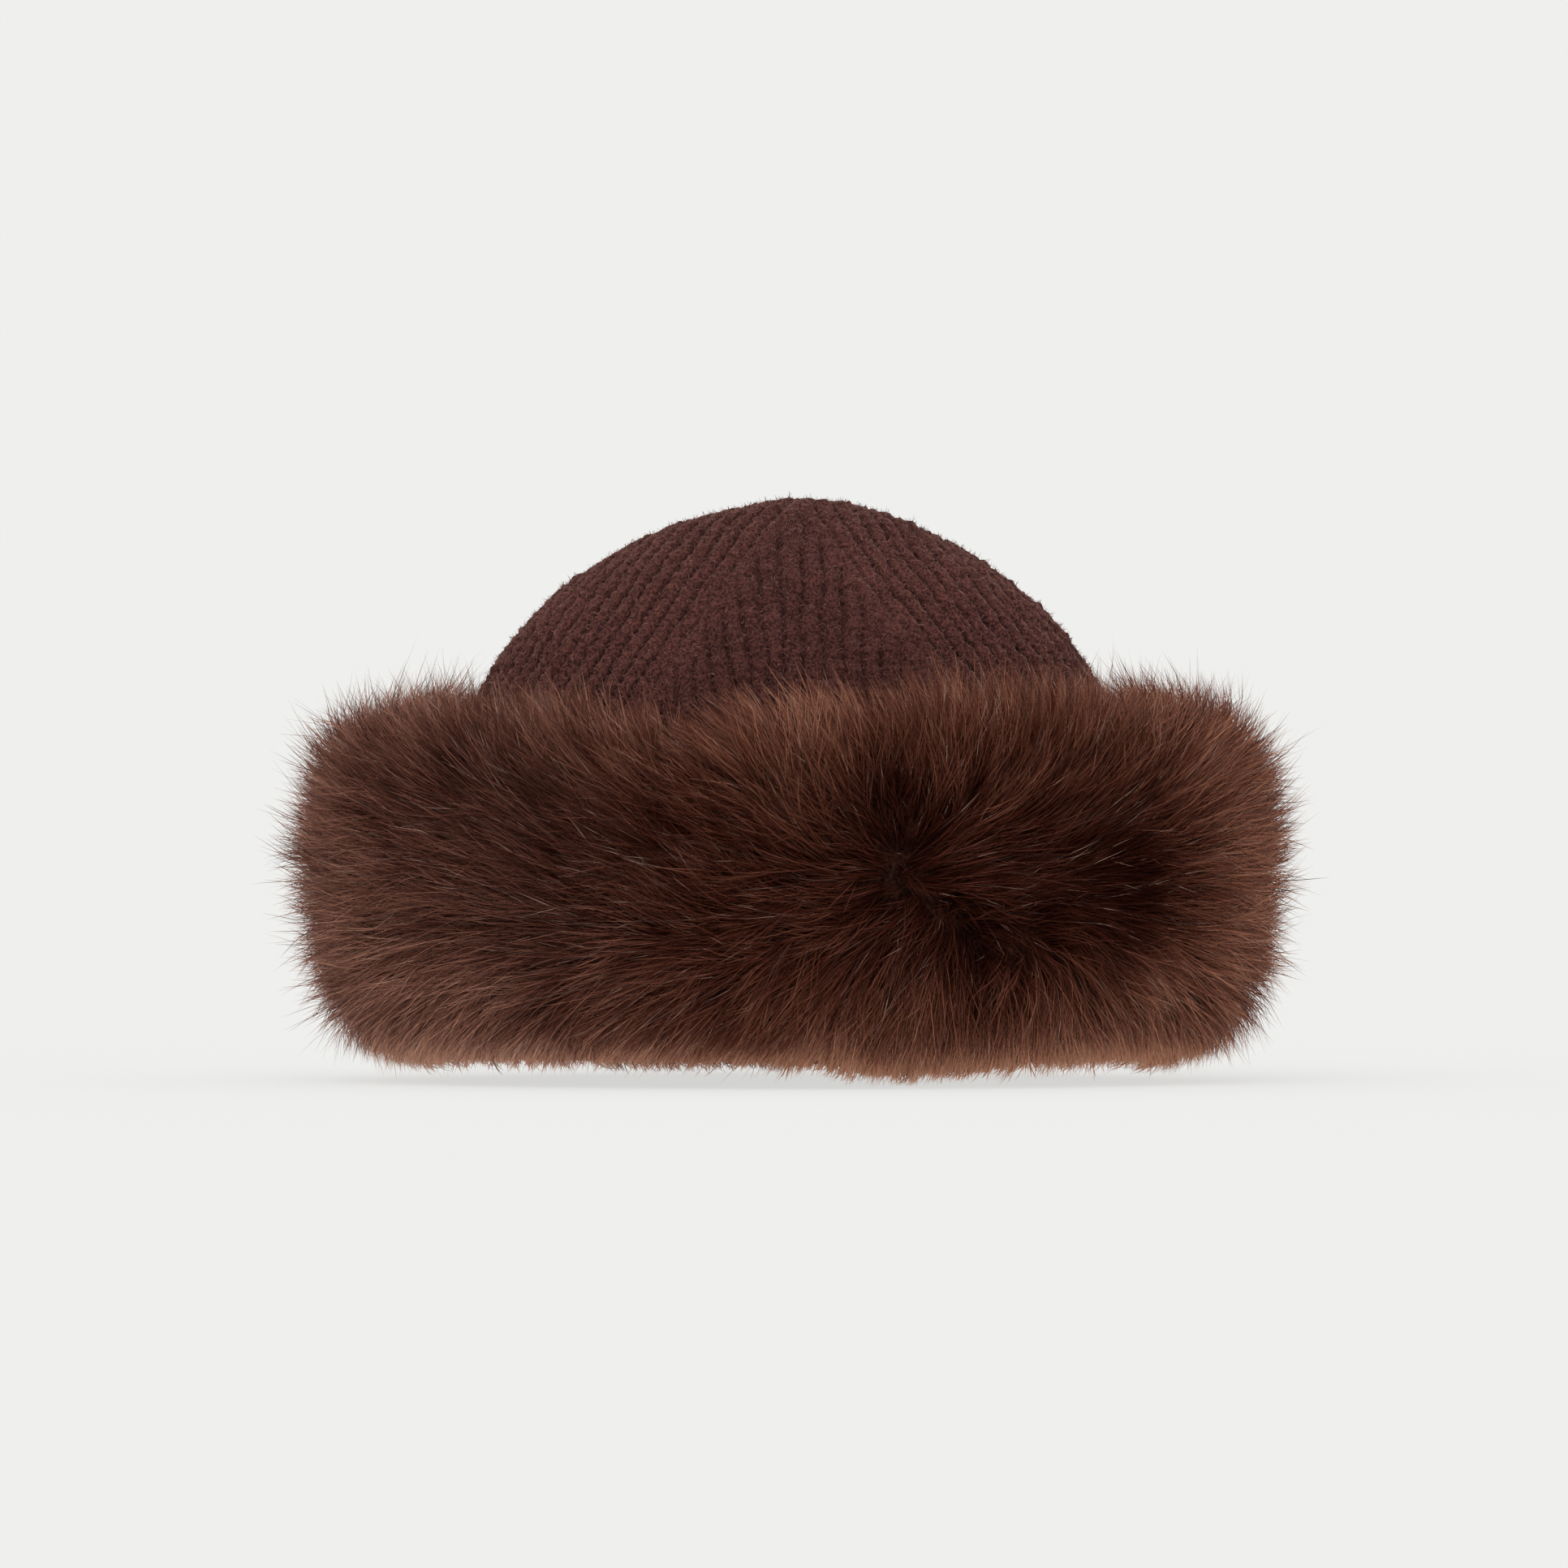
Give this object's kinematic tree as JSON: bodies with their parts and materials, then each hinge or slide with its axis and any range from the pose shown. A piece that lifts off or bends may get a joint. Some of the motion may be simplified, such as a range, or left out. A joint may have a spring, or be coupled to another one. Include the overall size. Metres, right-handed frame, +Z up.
{
  "type": "faux fur beanie",
  "caption": "Rib-knitted cap with a domed crown in shaped gores and a deep band of long-pile faux fur round its rim, hollow for a head.",
  "frame": {"origin": "on the surface that the cap stands on, under the middle of its oval", "axes": "+X towards the right of the front view, -Y towards the front, +Z up through the crown"},
  "size_m": [0.3231, 0.247, 0.183],
  "materials": {
    "knit": "brushed chunky rib knit, dark burgundy brown",
    "fur": "long-pile faux fur, dark chocolate brown with paler tips"
  },
  "bodies": {
    "root": {"knit_crown": "knit", "fur_brim": "fur"}
  },
  "joints": []
}
